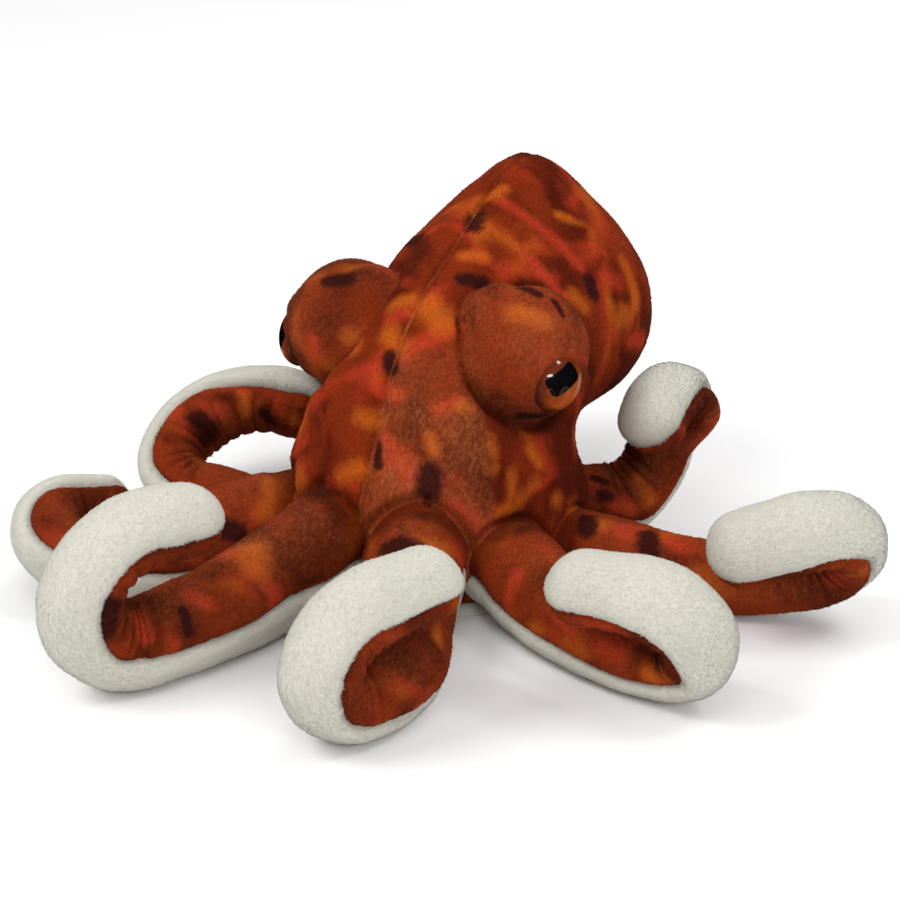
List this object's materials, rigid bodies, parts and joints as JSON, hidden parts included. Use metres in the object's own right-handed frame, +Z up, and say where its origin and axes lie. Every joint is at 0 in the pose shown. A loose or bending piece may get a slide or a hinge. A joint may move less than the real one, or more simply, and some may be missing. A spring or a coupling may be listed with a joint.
{
  "type": "plush octopus toy",
  "caption": "Stuffed plush octopus with a tall mantle, raised plastic eyes and printed arms with cream undersides that curl up at their ends.",
  "frame": {"origin": "middle of the flat base panel under the body, on the floor", "axes": "+Z up; the head faces -Y; the toy's left side is +X"},
  "size_m": [0.2663, 0.262, 0.1225],
  "materials": {
    "print_plush": "short-pile plush printed in rust, maroon and orange",
    "cream_plush": "soft cream plush, slightly longer pile",
    "eye": "clear gloss over a painted brown iris and black pupil"
  },
  "bodies": {
    "root": {"base_panel": "cream_plush", "head": "print_plush", "mantle": "print_plush", "eye_mound_left": "print_plush", "eye_left": "eye", "eye_mound_right": "print_plush", "eye_right": "eye", "arm_left_1_upper_root": "print_plush", "arm_left_1_under_root": "cream_plush", "arm_left_1_upper_middle": "print_plush", "arm_left_1_under_middle": "cream_plush", "arm_left_1_upper_tip": "print_plush", "arm_left_1_under_tip": "cream_plush", "arm_left_2_upper_root": "print_plush", "arm_left_2_under_root": "cream_plush", "arm_left_2_upper_middle": "print_plush", "arm_left_2_under_middle": "cream_plush", "arm_left_2_upper_tip": "print_plush", "arm_left_2_under_tip": "cream_plush", "arm_left_3_upper_root": "print_plush", "arm_left_3_under_root": "cream_plush", "arm_left_3_upper_middle": "print_plush", "arm_left_3_under_middle": "cream_plush", "arm_left_3_upper_tip": "print_plush", "arm_left_3_under_tip": "cream_plush", "arm_left_4_upper_root": "print_plush", "arm_left_4_under_root": "cream_plush", "arm_left_4_upper_middle": "print_plush", "arm_left_4_under_middle": "cream_plush", "arm_left_4_upper_tip": "print_plush", "arm_left_4_under_tip": "cream_plush", "arm_right_1_upper_root": "print_plush", "arm_right_1_under_root": "cream_plush", "arm_right_1_upper_middle": "print_plush", "arm_right_1_under_middle": "cream_plush", "arm_right_1_upper_tip": "print_plush", "arm_right_1_under_tip": "cream_plush", "arm_right_2_upper_root": "print_plush", "arm_right_2_under_root": "cream_plush", "arm_right_2_upper_middle": "print_plush", "arm_right_2_under_middle": "cream_plush", "arm_right_2_upper_tip": "print_plush", "arm_right_2_under_tip": "cream_plush", "arm_right_3_upper_root": "print_plush", "arm_right_3_under_root": "cream_plush", "arm_right_3_upper_middle": "print_plush", "arm_right_3_under_middle": "cream_plush", "arm_right_3_upper_tip": "print_plush", "arm_right_3_under_tip": "cream_plush", "arm_right_4_upper_root": "print_plush", "arm_right_4_under_root": "cream_plush", "arm_right_4_upper_middle": "print_plush", "arm_right_4_under_middle": "cream_plush", "arm_right_4_upper_tip": "print_plush", "arm_right_4_under_tip": "cream_plush"}
  },
  "joints": []
}
